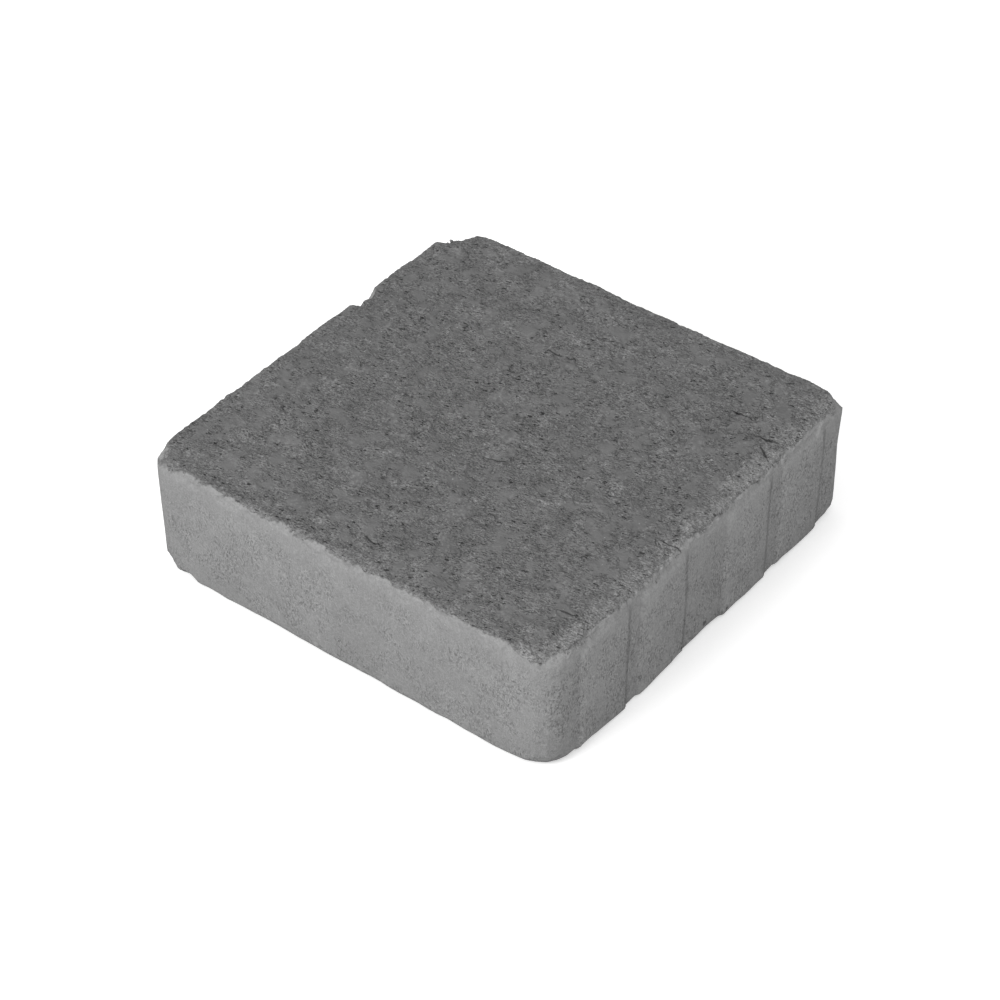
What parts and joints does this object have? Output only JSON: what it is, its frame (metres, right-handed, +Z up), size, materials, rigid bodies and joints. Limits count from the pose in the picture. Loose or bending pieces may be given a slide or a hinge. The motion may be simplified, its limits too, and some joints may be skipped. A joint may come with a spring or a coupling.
{
  "type": "concrete paving stone",
  "caption": "Square block of pressed grey concrete with worn edges, rounded corners and shallow spacer pads on opposite faces, laid on a bed as paving.",
  "frame": {"origin": "middle of the stone's box, on the bed it rests on", "axes": "+Z up from the bed to the wearing face; the spacer pads are on the faces that look along +X and -X, and the faces that look along +Y and -Y are plain"},
  "size_m": [0.1726, 0.1708, 0.05],
  "materials": {
    "concrete": "matte"
  },
  "bodies": {
    "root": {"paving_stone": "concrete"}
  },
  "joints": []
}
